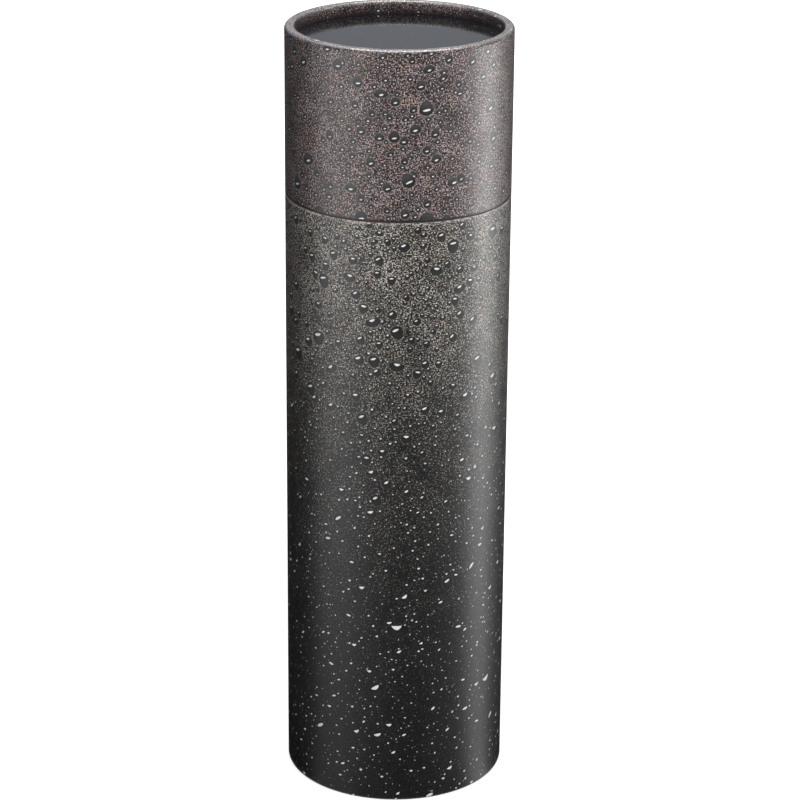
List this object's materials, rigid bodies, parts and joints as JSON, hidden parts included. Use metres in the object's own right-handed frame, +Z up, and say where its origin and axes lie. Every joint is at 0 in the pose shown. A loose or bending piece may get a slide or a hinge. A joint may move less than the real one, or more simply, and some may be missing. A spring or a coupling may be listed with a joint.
{
  "type": "cylindrical gift tube box",
  "caption": "Tall round gift tube in a droplet-print wrap, with a lift-off lid that slips over an inner neck and recessed end boards.",
  "frame": {"origin": "centre of the underside, in the plane of the foot that the tube stands on", "axes": "+Z up along the tube's axis towards the lid; the wraps' lap seams are at the back, +Y"},
  "size_m": [0.092, 0.092, 0.3228],
  "materials": {
    "board": "raw wound board, matte",
    "inner_board": "wound board with a pale inner ply, matte",
    "base_print": "printed art paper under a satin film, dark water-drop pattern",
    "lid_print": "printed art paper under a satin film, misty water-drop pattern",
    "top_facing": "slate-grey paper under a gloss film",
    "plain_dark_paper": "black uncoated paper",
    "lining_paper": "cream uncoated paper"
  },
  "bodies": {
    "base": {"base_tube": "board", "base_wrap": "base_print", "base_disc": "board", "base_disc_facing": "plain_dark_paper", "floor_paper": "lining_paper", "neck_tube": "inner_board", "neck_cover": "plain_dark_paper"},
    "lid": {"lid_tube": "board", "lid_wrap": "lid_print", "lid_disc": "board", "lid_disc_facing": "top_facing", "lid_ceiling_paper": "lining_paper", "lid_liner": "lining_paper"}
  },
  "joints": [
    {"name": "lid_lift", "type": "slide", "parent": "base", "child": "lid", "axis": [0, 0, 1], "range_m": [0, 0.15]}
  ]
}
